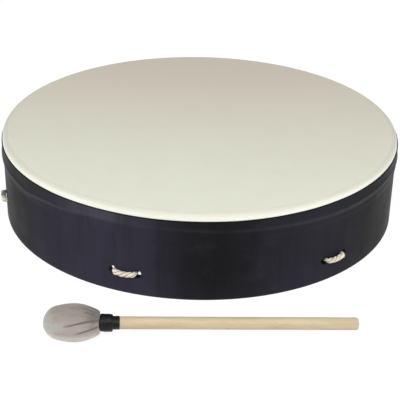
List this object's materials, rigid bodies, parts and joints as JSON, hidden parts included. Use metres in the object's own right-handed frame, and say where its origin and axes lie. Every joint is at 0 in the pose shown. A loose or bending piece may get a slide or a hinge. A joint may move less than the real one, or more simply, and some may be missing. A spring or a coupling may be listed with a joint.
{
  "type": "frame drum",
  "caption": "Round hand drum with a film head on a black-covered shell, held by a rope-laced grip ring, with a padded mallet.",
  "frame": {"origin": "centre of the drum's open edge, on the floor that it lies on", "axes": "+Z along the drum's axis, up through the head; -Y is the front, where the mallet lies; +Y is the back"},
  "size_m": [0.4125, 0.4889, 0.0889],
  "materials": {
    "wood_fibre": "satin",
    "black_sheet": "satin",
    "head_film": "satin",
    "natural_rope": "matte",
    "twine": "matte",
    "stick_wood": "satin",
    "core_rubber": "matte",
    "padding": "matte",
    "suede": "matte",
    "thread": "matte",
    "black_tape": "satin"
  },
  "bodies": {
    "drum": {"shell": "wood_fibre", "shell_cover": "black_sheet", "collar_band": "black_sheet", "drumhead": "head_film", "grip_ring": "natural_rope", "lacing_1": "natural_rope", "lacing_2": "natural_rope", "lacing_3": "natural_rope", "lacing_4": "natural_rope", "lacing_5": "natural_rope", "lacing_6": "natural_rope", "lacing_tail": "natural_rope", "lacing_seizing": "twine"},
    "mallet": {"mallet_stick": "stick_wood", "mallet_core": "core_rubber", "mallet_padding": "padding", "mallet_cover": "suede", "cover_binding": "thread", "neck_tape": "black_tape"}
  },
  "joints": [
    {"name": "mallet_lift", "type": "slide", "parent": "drum", "child": "mallet", "axis": [0, 0, 1], "range_m": [0, 0.3]}
  ]
}
